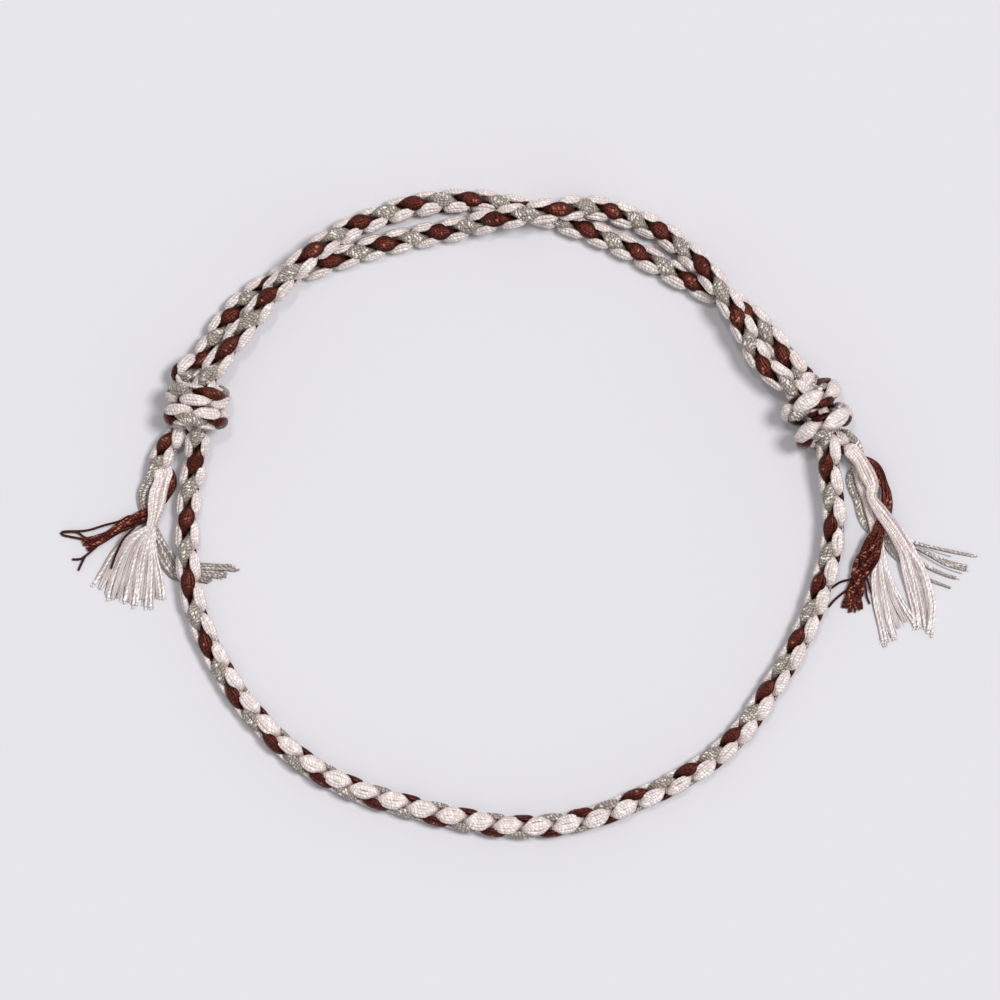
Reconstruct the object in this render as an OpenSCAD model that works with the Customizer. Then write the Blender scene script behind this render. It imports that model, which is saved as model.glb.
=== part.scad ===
// Braided cord bracelet: four floss strands in one round braid, tied round itself with two knots.
// Two strands lean right (brown, grey) and two lean left (both white), each over one, under one.
// The bracelet lies on z = 0. Sizes are in millimetres.

/* [Braid] */
// Distance of a strand from the cord's middle where it lies on top
over_radius = 0.88; // [0.8:0.01:0.92]
// Distance of a strand from the cord's middle where it passes under
under_radius = 0.29; // [0.27:0.01:0.31]
// Width of a strand where it lies on top, its widest place
top_width = 1.52; // [1.2:0.02:1.6]
// Width of a strand where it passes under
under_width = 0.84; // [0.6:0.02:0.9]
// Thickness of a strand pressed flat where two strands cross
flat_thickness = 0.5; // [0.4:0.01:0.54]
// How far the edges of a strand on top fold down round the cord
edge_fold = 0.2; // [0:0.01:0.3]
// How far a strand hurries through its under pass, in degrees of the braid's turn
under_hurry = 20; // [0:1:25]
// Sides of a strand's cross section
strand_sides = 4; // [4:2:8]
// Cross sections in one turn of the braid
sections_per_turn = 8; // [8:8:24]

/* [Knots] */
// Cord size inside a tight knot, as a share of its free size
knot_girth = 0.93; // [0.8:0.01:0.95]
// Radius of the knot's wraps, sideways
wrap_radius = 2.3; // [2.15:0.05:2.5]
// Radius of the knot's wraps, up and down
wrap_height = 2.15; // [2.05:0.05:2.4]

/* [Frayed ends] */
// Thickness of a loose lock of threads at its root
lock_thickness = 0.36; // [0.3:0.01:0.4]
// Thickness of a lock at its tip
tip_thickness = 0.18; // [0.12:0.01:0.24]
// Width of a lock's root, as a share of the lock's width
root_share = 0.6; // [0.4:0.05:1]
// Width of a lock's tip, as a share of the lock's width
tip_share = 0.7; // [0.4:0.05:0.9]

/* [Hidden] */
UP = [0, 0, 1];
probe = 0.01;
turn = 360;
// How sharply a strand narrows away from its widest place
swell = 3;

// How far the outer half of a lock reaches back into its inner half, and its size there, as shares
elbow_lap = 0.06;
elbow_share = 0.9;

// Middle of the cord where it crosses the inside of a knot
knot_z = 3.25;

// Each flat row is the turn of the braid, the cord's middle x, y, z, and the roll of its top face.
// The loose run from the left knot over the top to the right knot, where it goes through
run_under_rows = [
    [6.6, -33.3, 14.4, 2.6, 40], [7, -31.7, 15.5, 1.9, 10], [8, -28.8, 19.9, 1.15, 0],
    [9, -24.7, 23.2, 1.15, 0],
    [10, -18.7, 25.4, 1.15, 0], [11, -13.3, 27.1, 1.15, 0], [12, -7.8, 28.3, 1.15, 0],
    [12.5, -4.9, 28.9, 1.5, 0], [13, -2.1, 29.6, 2.7, 0], [13.6, 1.5, 30.2, 3.5, 0],
    [14, 4, 30.5, 3.4, 0], [14.5, 6.6, 30.8, 2.2, 0], [15, 9.3, 30.4, 1.3, 0],
    [16, 14.2, 28.4, 1.2, -3], [16.5, 16.4, 26.7, 1.5, -5], [17, 18.5, 24.7, 2.5, -5],
    [17.6, 20.7, 21.8, 3.5, 0], [18, 21.9, 19.8, 3.4, 5], [19, 24.6, 15, 3.1, 12]];
// Through the right knot and round the big loop to the left knot
loop_rows = [
    [19.5, 27.1, 13, 3.15, 10], [20, 29.3, 10.9, 3.2, 15], [20.5, 30.8, 8.1, 3.15, 20],
    [21, 31.1, 5, 2.7, 30], [22, 31.6, -1.1, 2.1, 36], [23, 30.4, -6.9, 1.7, 35],
    [24, 28.2, -12.5, 1.4, 34], [25, 25.1, -17.7, 1.25, 35], [26, 21.7, -22.4, 1.15, 40],
    [27, 17.2, -25.9, 1.15, 44], [28, 11.9, -28.5, 1.15, 56], [29, 6.4, -30.5, 1.15, 75],
    [30, 0.4, -31.2, 1.15, 95], [31, -5.3, -30.5, 1.15, 104], [32, -11.1, -29.1, 1.15, 107],
    [33, -16.9, -27.2, 1.15, 112], [34, -21.9, -24.3, 1.15, 120], [35, -26.3, -20.1, 1.15, 130],
    [36, -29.6, -15.4, 1.15, 146], [37, -32.1, -9.9, 1.3, 159], [37.5, -32.8, -6.7, 1.5, 164],
    [38, -33.1, -3.5, 1.3, 168], [39, -32.8, 2.7, 1.3, 174], [39.5, -32.2, 5.5, 1.9, 178]];
// Through the left knot and along the top again to the right knot, where it is tied
run_over_rows = [
    [40, -32, 8.3, 2.9, 180], [40.5, -32, 11.1, 3.2, 176], [41, -30.9, 13.9, 3.2, 172],
    [41.5, -28.9, 16.7, 3.1, 168], [42, -26.7, 19.4, 3, 168], [42.5, -24.9, 21.8, 3.2, 168],
    [43, -22.8, 24, 3.5, 168], [43.5, -20.5, 26.2, 3.1, 168], [44, -18.2, 27.8, 1.9, 166],
    [44.5, -15.8, 29.1, 1.3, 164], [45.5, -10.4, 30.9, 1.15, 152], [46.5, -4.7, 31.4, 1.15, 162],
    [47.5, 1.1, 30.4, 1.15, 172], [48.5, 6.9, 28.5, 1.15, 180], [49.5, 11.9, 26.2, 1.15, 168],
    [50.5, 17.3, 23.3, 1.15, 174], [51.5, 22.7, 20.4, 1.15, 180], [52.5, 26.6, 16.2, 1.15, 200],
    [53, 28.3, 14, 1.1, 235]];
// Each knot: middle of its first wrap, step to the next wrap, slope of its wraps,
// first and last angle, turn of the braid and roll at both, in the order of the cord's travel
left_knot = [[-31.8, 13.5], [-0.2, -2.1], -18, [785, 45], [1.6, 6.2], [245, 100]];
right_knot = [[28.45, 13.2], [1.15, -2.45], 14.5, [120, 840], [53.75, 58.3], [290, 280]];
// Angle between the computed places of a wrap
wrap_step = 40;
// The tied ends between the knots and the loose strands
left_end_rows = [[0.5, -36, 4.9, 1.3, 335], [1, -35, 7, 1.25, 325]];
right_end_rows = [[58.6, 33.2, 6.9, 1.35, 275]];

// Loose strands, each from its frayed root to the braid: x, y, z, half width, half thickness
left_loose = [
    // brown
    [[-42.2, -2.5, 0.4, 0.58, 0.2], [-40.9, -1.9, 0.45, 0.65, 0.22], [-38.8, -0.6, 0.65, 0.72, 0.22],
     [-37.4, 0, 0.85, 0.7, 0.22], [-36.3, 0.5, 0.65, 0.34, 0.2], [-35.4, 1.3, 0.4, 0.24, 0.22],
     [-34.9, 2.5, 0.4, 0.24, 0.24], [-34.5, 3.8, 0.5, 0.32, 0.26]],
    // grey
    [[-36.2, -1.8, 0.3, 0.5, 0.2], [-36.9, -0.4, 0.3, 0.42, 0.2], [-37.5, 0.9, 0.35, 0.42, 0.22],
     [-37.5, 2.3, 0.7, 0.42, 0.24], [-36.9, 3.5, 1.2, 0.42, 0.26]],
    // first white
    [[-36.5, -1.2, 0.8, 0.38, 0.18], [-36.1, -0.1, 1.1, 0.4, 0.18], [-35.7, 1, 1.2, 0.46, 0.2],
     [-35.5, 2.3, 1.1, 0.5, 0.24], [-35.4, 3.5, 1.1, 0.5, 0.26]],
    // second white
    [[-36.8, -1.2, 1.3, 0.4, 0.18], [-36.6, -0.2, 1.6, 0.42, 0.18], [-36.5, 0.9, 1.75, 0.52, 0.22],
     [-36.3, 2.3, 1.7, 0.55, 0.24], [-35.9, 3.5, 1.7, 0.5, 0.26]]];
// Loose strands, each from the braid to its frayed root
right_loose = [
    // brown
    [[34.2, 5.7, 1.4, 0.45, 0.22], [35.7, 4.8, 1.15, 0.55, 0.22], [36.5, 3.5, 0.8, 0.6, 0.22],
     [36.9, 2, 0.8, 0.65, 0.22], [36.8, 0.5, 1, 0.65, 0.22], [36.4, -0.9, 1.25, 0.75, 0.2],
     [35.8, -2.3, 1.35, 1.1, 0.2], [35, -4.2, 1.15, 1.15, 0.24], [34.2, -6.2, 0.6, 1.1, 0.26],
     [33.6, -7.9, 0.35, 1, 0.26]],
    // grey
    [[34.2, 6.2, 0.95, 0.42, 0.24], [34.1, 5, 0.35, 0.4, 0.2], [33.3, 4, 0.3, 0.38, 0.2],
     [33.4, 2.9, 0.35, 0.38, 0.22], [34, 1.4, 0.3, 0.36, 0.2], [34.3, 0.1, 0.27, 0.36, 0.2],
     [35, -1.2, 0.25, 0.38, 0.18], [36.5, -2.2, 0.25, 0.42, 0.18], [38.4, -2.6, 0.27, 0.5, 0.18]],
    // first white
    [[34.1, 5.6, 1.95, 0.8, 0.24], [34.9, 4.1, 1.9, 0.95, 0.22], [35.4, 2.9, 1.85, 0.75, 0.22],
     [35.3, 1.8, 1.8, 0.55, 0.24], [36.2, 0.4, 1.8, 0.75, 0.2], [37.6, -1.5, 1.65, 0.85, 0.2],
     [38.8, -3.5, 0.9, 0.95, 0.2]],
    // second white
    [[33.7, 5.6, 0.8, 0.42, 0.2], [34, 4.4, 0.95, 0.5, 0.2], [34.3, 3, 0.95, 0.5, 0.2],
     [34.8, 1.7, 0.85, 0.5, 0.2], [35.2, 0.3, 0.8, 0.5, 0.18], [35.6, -1.2, 0.75, 0.5, 0.18],
     [36, -2.8, 0.75, 0.6, 0.18], [36.2, -4.2, 0.6, 0.7, 0.18]]];

// Locks of the frayed ends: width, then x, y, z of the root, of the elbow if it bends, and of the tip
left_locks = [
    // brown
    [[0.8, [-42.1, -2.4, 0.4], [-43.6, -3, 0.2]],
     [0.25, [-38.8, -0.4, 0.7], [-42.4, -1.3, 0.4], [-45.7, -1.7, 0.2]],
     [0.25, [-43.2, -2.8, 0.25], [-45.6, -2.1, 0.2]],
     [0.3, [-41.8, -2.6, 0.4], [-43.1, -4.1, 0.3], [-44.5, -4.5, 0.2]],
     [0.25, [-43, -4, 0.3], [-44, -5.5, 0.2]],
     [0.25, [-38.5, -0.8, 0.75], [-39.8, -3, 0.95], [-40.7, -5.3, 0.8]]],
    // grey
    [[0.5, [-36.1, -1.8, 0.3], [-33.7, -5.3, 0.2], [-28.2, -5.3, 0.2]],
     [0.6, [-36.3, -1.8, 0.3], [-34.1, -5.9, 0.2], [-29.2, -6.1, 0.2]],
     [0.6, [-36.5, -1.9, 0.3], [-34.6, -6.3, 0.2], [-30.7, -6.8, 0.2]]],
    // first white
    [[0.9, [-36.5, -1.2, 0.8], [-37.4, -5.2, 0.3], [-38.1, -9.5, 0.2]],
     [0.9, [-36.4, -1.2, 0.8], [-36.8, -5.2, 0.3], [-36.9, -9.6, 0.2]],
     [0.8, [-36.3, -1.2, 0.8], [-36.1, -4.6, 0.3], [-35.7, -8.5, 0.2]]],
    // second white
    [[0.9, [-36.9, -1.2, 1.3], [-39.6, -3.6, 0.4], [-42.4, -7.4, 0.2]],
     [1.2, [-36.9, -1.2, 1.3], [-39.3, -4.6, 0.4], [-41, -8.7, 0.2]],
     [1, [-36.8, -1.2, 1.3], [-38.6, -5.2, 0.4], [-39.6, -9.3, 0.2]]]];
right_locks = [
    // brown
    [[0.8, [33.3, -7.8, 0.35], [32.6, -9.4, 0.2]],
     [0.9, [33.6, -7.8, 0.35], [33.4, -9.8, 0.2]],
     [0.8, [33.9, -7.8, 0.35], [34.3, -9.7, 0.2]],
     [0.3, [33.6, -6.2, 0.55], [31.3, -7.3, 0.2]],
     [0.3, [33.2, -7.6, 0.35], [31.1, -9.2, 0.2]],
     [0.35, [34.4, -6.6, 0.5], [35, -8.9, 0.2]]],
    // grey
    [[0.3, [38.3, -2.6, 0.27], [41.8, -3.2, 0.2], [45.9, -4.2, 0.2]],
     [0.9, [38.3, -2.7, 0.27], [42, -4.5, 0.2], [45.3, -5.6, 0.2]],
     [0.4, [38.3, -2.8, 0.27], [40.7, -5.1, 0.2], [44.3, -6.5, 0.2]],
     [0.3, [36.4, -2.2, 0.25], [38, -4.6, 0.2], [43.3, -7.3, 0.2]]],
    // first white
    [[0.9, [38.6, -3.4, 0.9], [38.9, -6.2, 0.6], [39.9, -10.8, 0.2]],
     [1, [38.8, -3.4, 0.9], [39.8, -6.4, 0.6], [40.5, -11.3, 0.2]],
     [0.9, [39, -3.4, 0.9], [41, -6.8, 0.6], [41.3, -11.5, 0.2]]],
    // second white
    [[0.9, [36, -4.1, 0.6], [35.8, -7.4, 0.25], [36.9, -13.1, 0.2]],
     [0.9, [36.2, -4.1, 0.6], [36.6, -7.4, 0.25], [37.6, -12.7, 0.2]],
     [0.9, [36.4, -4.1, 0.6], [37.4, -7.2, 0.25], [39, -10.6, 0.2]]]];

function unit(v) = v / norm(v);
function last(list) = list[len(list) - 1];
function blend(pair, share) = pair[0] + (pair[1] - pair[0]) * share;

// A flat row with the sky as the way its top face looks, and its girth
function flat(rows, girth = 1) = [for (r = rows) [r[0], r[1], r[2], r[3], 0, 0, 1, r[4], girth]];

// One place on a knot's wraps, which go round the cord that passes through it
function wrap_row(knot, angle, share) =
    let (across = [cos(knot[2]), sin(knot[2])],
         middle = knot[0] + knot[1] * angle / turn,
         side = -cos(angle),
         xy = middle + across * wrap_radius * side)
    [blend(knot[4], share), xy[0], xy[1], knot_z - wrap_height * sin(angle),
     -side * across[0], -side * across[1], sin(angle), blend(knot[5], share), knot_girth];

function wraps(knot) =
    let (span = knot[3][1] - knot[3][0], steps = round(abs(span) / wrap_step))
    [for (i = [0 : steps]) wrap_row(knot, knot[3][0] + span * i / steps, i / steps)];

// The whole route of the cord: turn, place, the way its top face looks, roll, girth
route = concat(
    flat(left_end_rows, 0.95), wraps(left_knot), flat(run_under_rows), flat(loop_rows),
    flat(run_over_rows), wraps(right_knot), flat(right_end_rows, 0.95));
row_numbers = [for (i = [0 : len(route) - 1]) [route[i][0], i]];
first_turn = route[0][0];
last_turn = last(route)[0];

// Smooth curve through the rows
function row_slope(i) =
    let (a = max(i - 1, 0), b = min(i + 1, len(route) - 1))
    (route[b] - route[a]) / (route[b][0] - route[a][0]);
function row_at(t) =
    let (i = min(floor(lookup(t, row_numbers)), len(route) - 2),
         gap = route[i + 1][0] - route[i][0],
         f = (t - route[i][0]) / gap)
    route[i] * (1 + 2 * f) * (1 - f) * (1 - f) + route[i + 1] * f * f * (3 - 2 * f)
    + (row_slope(i) * f * (1 - f) * (1 - f) - row_slope(i + 1) * f * f * (1 - f)) * gap;
function place(row) = [row[1], row[2], row[3]];

// The cord's frame at a turn: middle, the way its first face looks, the way to its side, girth
function frame_at(t) =
    let (row = row_at(t),
         ahead = unit(place(row_at(t + probe)) - place(row_at(t - probe))),
         sky = [row[4], row[5], row[6]],
         top = unit(sky - ahead * (sky * ahead)),
         face = top * cos(row[7]) + cross(ahead, top) * sin(row[7]))
    [place(row), face, cross(ahead, face), row[8]];

turns = [for (i = [0 : round((last_turn - first_turn) * sections_per_turn)])
    first_turn + i / sections_per_turn];
frames = [for (t = turns) frame_at(t)];

// One cross section of a strand: middle, half size along the cord's face, half size to its side,
// and how far the edges on either axis fold inwards
function ring(middle, tall, wide, wide_fold = [0, 0, 0], tall_fold = [0, 0, 0]) =
    [for (k = [0 : strand_sides - 1])
        let (a = turn * k / strand_sides, c = cos(a), s = sin(a))
        middle + tall * c + wide * s - wide_fold * s * s - tall_fold * c * c];

// Half width and half thickness of a strand, and the fold of its edges: over is 1 on top, 0 underneath
function half_width(over) = (flat_thickness + (top_width - flat_thickness) * pow(over, swell)) / 2;
function half_depth(over) = (under_width - (under_width - flat_thickness) * over * over) / 2;
function fold(over) = edge_fold * pow(over, swell);

// A strand that leans to the right, and swaps over and under twice a turn
function right_ring(t, frame, half_turn) =
    let (a = turn * t + half_turn,
         b = a - under_hurry * sin(2 * a),
         over = cos(b) * cos(b),
         face = frame[1] * frame[3],
         side = frame[2] * frame[3])
    ring(frame[0] + face * over_radius * cos(b) + side * under_radius * sin(b),
         face * half_depth(over), side * half_width(over), face * fold(over) * sign(cos(b)));

// A strand that leans to the left, a quarter of the way round from the others
function left_ring(t, frame, half_turn) =
    let (a = turn * t + half_turn,
         b = a + under_hurry * sin(2 * a),
         over = sin(b) * sin(b),
         face = frame[1] * frame[3],
         side = frame[2] * frame[3])
    ring(frame[0] + face * under_radius * cos(b) - side * over_radius * sin(b),
         face * half_width(over), side * half_depth(over),
         [0, 0, 0], side * -fold(over) * sign(sin(b)));

function braided_rings(strand) =
    [for (i = [0 : len(turns) - 1])
        strand < 2 ? right_ring(turns[i], frames[i], strand * turn / 2)
                   : left_ring(turns[i], frames[i], (strand - 2) * turn / 2)];

function middle_of(points, i = 0) =
    i == len(points) ? [0, 0, 0] : points[i] / len(points) + middle_of(points, i + 1);

// Loose part of a strand: its sections lie level, square to its way
function loose_rings(rows, before, after) =
    let (spots = concat(before, [for (r = rows) [r[0], r[1], r[2]]], after), skip = len(before))
    [for (i = [0 : len(rows) - 1])
        let (n = i + skip,
             ahead = unit(spots[min(n + 1, len(spots) - 1)] - spots[max(n - 1, 0)]),
             top = unit(UP - ahead * ahead[2]))
        ring(spots[n], top * rows[i][4], cross(ahead, top) * rows[i][3])];

module tube(rings) {
    sides = len(rings[0]);
    count = len(rings);
    points = [for (r = rings) each r];
    skin = [for (i = [0 : count - 2], k = [0 : sides - 1])
        let (a = i * sides + k, b = i * sides + (k + 1) % sides)
        each [[a, a + sides, b], [b, a + sides, b + sides]]];
    end = (count - 1) * sides;
    caps = [for (k = [1 : sides - 2]) each [[0, k, k + 1], [end, end + k + 1, end + k]]];
    polyhedron(points, concat(skin, caps));
}

// A lock of threads, flat and level, narrow at its root, wide where it bends and thin at its tip
module lock(width, places) {
    side = unit(cross(UP, last(places) - places[0])) * width / 2;
    height = UP * lock_thickness / 2;
    hull() tube([ring(places[0], height, side * root_share), lock_ring(places, 1, height, side)]);
    if (len(places) == 3) hull() tube([
        ring(blend([places[1], places[0]], elbow_lap), height * elbow_share, side * elbow_share),
        lock_ring(places, 2, height, side)]);
}

// Cross section of a lock at its elbow or its tip
function lock_ring(places, number, height, side) =
    number == len(places) - 1
        ? ring(places[number], height * tip_thickness / lock_thickness, side * tip_share)
        : ring(places[number], height, side);

// One whole strand, from its left frayed locks through the braid to its right frayed locks
module strand(number) {
    braid = braided_rings(number);
    left = left_loose[number];
    right = right_loose[number];
    tube(concat(
        loose_rings(left, [], [middle_of(braid[0])]),
        braid,
        loose_rings(right, [middle_of(last(braid))], [])));
    for (l = concat(left_locks[number], right_locks[number]))
        lock(l[0], [for (i = [1 : len(l) - 1]) l[i]]);
}

module strand_brown() {
    color([0.42, 0.17, 0.13]) strand(0);
}

module strand_grey() {
    color([0.62, 0.61, 0.55]) strand(1);
}

module strand_white_a() {
    color([0.93, 0.87, 0.86]) strand(2);
}

module strand_white_b() {
    color([0.93, 0.87, 0.86]) strand(3);
}

strand_brown();
strand_grey();
strand_white_a();
strand_white_b();
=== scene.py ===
import math

import bpy
import numpy as np
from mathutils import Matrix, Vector


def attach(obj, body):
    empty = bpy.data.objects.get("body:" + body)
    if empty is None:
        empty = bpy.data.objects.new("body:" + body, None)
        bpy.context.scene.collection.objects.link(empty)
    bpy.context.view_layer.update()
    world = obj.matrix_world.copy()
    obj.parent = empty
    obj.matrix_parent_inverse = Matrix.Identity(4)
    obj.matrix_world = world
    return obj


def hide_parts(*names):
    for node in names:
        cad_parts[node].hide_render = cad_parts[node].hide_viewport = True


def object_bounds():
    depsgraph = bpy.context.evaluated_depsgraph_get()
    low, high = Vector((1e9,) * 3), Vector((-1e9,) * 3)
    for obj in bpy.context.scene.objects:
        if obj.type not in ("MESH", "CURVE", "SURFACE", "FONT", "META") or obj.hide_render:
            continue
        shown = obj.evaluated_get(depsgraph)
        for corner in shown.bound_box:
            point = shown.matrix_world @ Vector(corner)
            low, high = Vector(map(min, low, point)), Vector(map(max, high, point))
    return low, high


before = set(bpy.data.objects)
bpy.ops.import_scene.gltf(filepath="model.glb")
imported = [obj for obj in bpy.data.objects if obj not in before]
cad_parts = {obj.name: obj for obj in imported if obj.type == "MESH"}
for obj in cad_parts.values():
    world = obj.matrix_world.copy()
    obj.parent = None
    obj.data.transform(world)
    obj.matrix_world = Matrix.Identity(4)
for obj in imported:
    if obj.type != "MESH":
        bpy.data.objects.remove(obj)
cad_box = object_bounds()

# The frame, the camera and the floor are in metres, and the strands are worked out in millimetres
MM = 0.001

# Camera: straight down, from far away, with 100 mm across the picture at the cord's middle height
CAMERA_HEIGHT = 1.5
VIEW_WIDTH = 0.1
VIEW_MIDDLE = (-0.0018, 0.0015, 0.0013)
SENSOR_WIDTH = 36
CLIP_NEAR = 0.01
CLIP_FAR = 20

camera_data = bpy.data.cameras.new("camera")
camera_data.sensor_width = SENSOR_WIDTH
camera_data.lens = SENSOR_WIDTH * CAMERA_HEIGHT / VIEW_WIDTH
camera_data.clip_start = CLIP_NEAR
camera_data.clip_end = CLIP_FAR
camera = bpy.data.objects.new("camera", camera_data)
camera.location = (VIEW_MIDDLE[0], VIEW_MIDDLE[1], VIEW_MIDDLE[2] + CAMERA_HEIGHT)
bpy.context.scene.collection.objects.link(camera)
bpy.context.scene.camera = camera

# The four strands, with the frame's node of each
STRANDS = ["brown", "grey", "white_a", "white_b"]
NODES = {name: "strand_" + name for name in STRANDS}
# Two strands lean right in the braid and two lean left; the second of each pair is opposite the first
LEANS_RIGHT = ("brown", "grey")
OPPOSITE = ("grey", "white_b")

# Distance of a strand from the cord's middle where it lies on top, and where it passes under
OVER_RADIUS = 0.88
UNDER_RADIUS = 0.29
# Width of a strand at those two places
TOP_WIDTH = 1.6
UNDER_WIDTH = 0.9
# Thickness of a strand pressed flat, and how far its edges fold down round the cord
FLAT_THICKNESS = 0.58
EDGE_FOLD = 0.38
# How far a strand hurries through its under pass, in degrees of the braid's turn
UNDER_HURRY = 20
# How sharply a strand narrows away from its widest place
SWELL = {"brown": 4.5, "grey": 3.5, "white_a": 1.8, "white_b": 1.8}
# How sharply it grows thicker away from there, and how sharply its fold opens
THICKENING = 2
UNFOLDING = 3
# Size of each strand in the braid, as shares of the common width and thickness
FULLNESS = {"brown": (0.98, 1.0), "grey": (0.92, 0.95), "white_a": (1.14, 1.12), "white_b": (1.14, 1.12)}
# Sections in one turn of the braid, and how far on both sides of one its direction is read, in turns
SECTIONS_PER_TURN = 20
PROBE = 0.01

# Cord size inside a tight knot, and at the braid's two ends, as shares of its free size
KNOT_GIRTH = 0.93
END_GIRTH = 0.95
# Radius of a knot's wraps sideways, and up and down, and height of the knot's middle
WRAP_RADIUS = 2.3
WRAP_HEIGHT = 2.15
KNOT_Z = 3.25
# Degrees from one row of a wrap to the next
WRAP_STEP = 40

# Each flat row is the turn of the braid, the cord's middle x, y, z, and the roll of its top face.
# The loose run from the left knot over the top to the right knot, where it goes through
RUN_UNDER = [
    [6.6, -33.3, 14.4, 2.6, 40], [7, -31.7, 15.5, 1.9, 10], [8, -28.8, 19.9, 1.15, 0],
    [9, -24.7, 23.2, 1.15, 0], [10, -18.7, 25.4, 1.15, 0], [11, -13.3, 27.1, 1.15, 0],
    [12, -7.8, 28.3, 1.15, 0], [12.5, -4.9, 28.9, 1.5, 0], [13, -2.1, 29.6, 2.7, 0],
    [13.6, 1.5, 30.2, 3.5, 0], [14, 4, 30.5, 3.4, 0], [14.5, 6.6, 30.8, 2.2, 0],
    [15, 9.3, 30.4, 1.3, 0], [16, 14.2, 28.4, 1.2, -3], [16.5, 16.4, 26.7, 1.5, -5],
    [17, 18.5, 24.7, 2.5, -5], [17.6, 20.7, 21.8, 3.5, 0], [18, 21.9, 19.8, 3.4, 5],
    [19, 24.6, 15, 3.1, 12]]
# Through the right knot and round the big loop to the left knot
LOOP = [
    [19.5, 27.1, 13, 3.15, 10], [20, 29.3, 10.9, 3.2, 15], [20.5, 30.8, 8.1, 3.15, 20],
    [21, 31.1, 5, 2.7, 30], [22, 31.6, -1.1, 2.1, 36], [23, 30.4, -6.9, 1.7, 35],
    [24, 28.2, -12.5, 1.4, 34], [25, 25.1, -17.7, 1.25, 35], [26, 21.7, -22.4, 1.15, 40],
    [27, 17.2, -25.9, 1.15, 44], [28, 11.9, -28.5, 1.15, 56], [29, 6.4, -30.5, 1.15, 75],
    [30, 0.4, -31.2, 1.15, 95], [31, -5.3, -30.5, 1.15, 104], [32, -11.1, -29.1, 1.15, 107],
    [33, -16.9, -27.2, 1.15, 112], [34, -21.9, -24.3, 1.15, 120], [35, -26.3, -20.1, 1.15, 130],
    [36, -29.6, -15.4, 1.15, 146], [37, -32.1, -9.9, 1.3, 159], [37.5, -32.8, -6.7, 1.5, 164],
    [38, -33.1, -3.5, 1.3, 168], [39, -32.8, 2.7, 1.3, 174], [39.5, -32.2, 5.5, 1.9, 178]]
# Through the left knot and back over the top, three times across the first run, to the right knot
RUN_OVER = [
    [40, -32, 8.3, 2.9, 180], [40.5, -32, 11.1, 3.2, 176], [41, -30.9, 13.9, 3.2, 172],
    [41.5, -28.9, 16.7, 3.1, 168], [42, -26.7, 19.4, 3, 168], [42.5, -24.9, 21.8, 3.2, 168],
    [43, -22.8, 24, 3.5, 168], [43.5, -20.5, 26.2, 3.1, 168], [44, -18.2, 27.8, 1.9, 166],
    [44.5, -15.8, 29.1, 1.3, 164], [45.5, -10.4, 30.9, 1.15, 152], [46.5, -4.7, 31.4, 1.15, 162],
    [47.5, 1.1, 30.4, 1.15, 172], [48.5, 6.9, 28.5, 1.15, 180], [49.5, 11.9, 26.2, 1.15, 168],
    [50.5, 17.3, 23.3, 1.15, 174], [51.5, 22.7, 20.4, 1.15, 180], [52.5, 26.6, 16.2, 1.15, 200],
    [53, 28.3, 14, 1.1, 235]]
# Each knot: middle of its wraps at angle 0, step from one wrap to the next, slope of the wraps in
# degrees, and the angles, the turns of the braid and the rolls at both ends
LEFT_KNOT = [[-31.8, 13.5], [-0.2, -2.1], -18, [785, 45], [1.6, 6.2], [245, 100]]
RIGHT_KNOT = [[28.45, 13.2], [1.15, -2.45], 14.5, [120, 840], [53.75, 58.3], [290, 280]]
# The braid's two ends, as flat rows
LEFT_END = [[0.5, -36, 4.9, 1.3, 335], [1, -35, 7, 1.25, 325]]
RIGHT_END = [[58.6, 33.2, 6.9, 1.35, 275]]

# Loose tails, each from its frayed root towards the braid: x, y, z, half width, half thickness
LEFT_TAILS = {
    "brown": [[-42.2, -2.55, 0.4, 0.64, 0.2], [-40.9, -1.98, 0.45, 0.62, 0.22],
              [-38.8, -0.75, 0.65, 0.6, 0.22], [-37.4, 0, 0.85, 0.72, 0.22], [-36.3, 0.5, 0.65, 0.34, 0.2],
              [-35.6, 1, 0.4, 0.22, 0.18], [-35.1, 1.9, 0.42, 0.34, 0.2], [-34.65, 2.9, 0.45, 0.42, 0.2],
              [-34.4, 3.8, 0.5, 0.18, 0.14], [-34.7, 4.6, 0.5, 0.12, 0.12]],
    "grey": [[-36.2, -1.8, 0.3, 0.5, 0.2], [-36.9, -0.4, 0.3, 0.42, 0.2],
             [-37.5, 0.9, 0.35, 0.42, 0.22], [-37.5, 2.3, 0.7, 0.42, 0.24], [-36.9, 3.5, 1.2, 0.42, 0.26]],
    "white_a": [[-36.5, -1.2, 0.8, 0.38, 0.18], [-36.1, -0.1, 1.1, 0.4, 0.18],
                [-35.7, 1, 1.2, 0.46, 0.2], [-35.5, 2.3, 1.1, 0.5, 0.24],
                [-35.25, 3.5, 1.1, 0.55, 0.24], [-35.05, 4.45, 1.15, 0.6, 0.24]],
    "white_b": [[-36.8, -1.2, 1.3, 0.4, 0.18], [-36.6, -0.2, 1.6, 0.42, 0.18],
                [-36.5, 0.9, 1.75, 0.52, 0.22], [-36.3, 2.3, 1.7, 0.55, 0.24], [-35.9, 3.5, 1.7, 0.5, 0.26]]}
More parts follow.
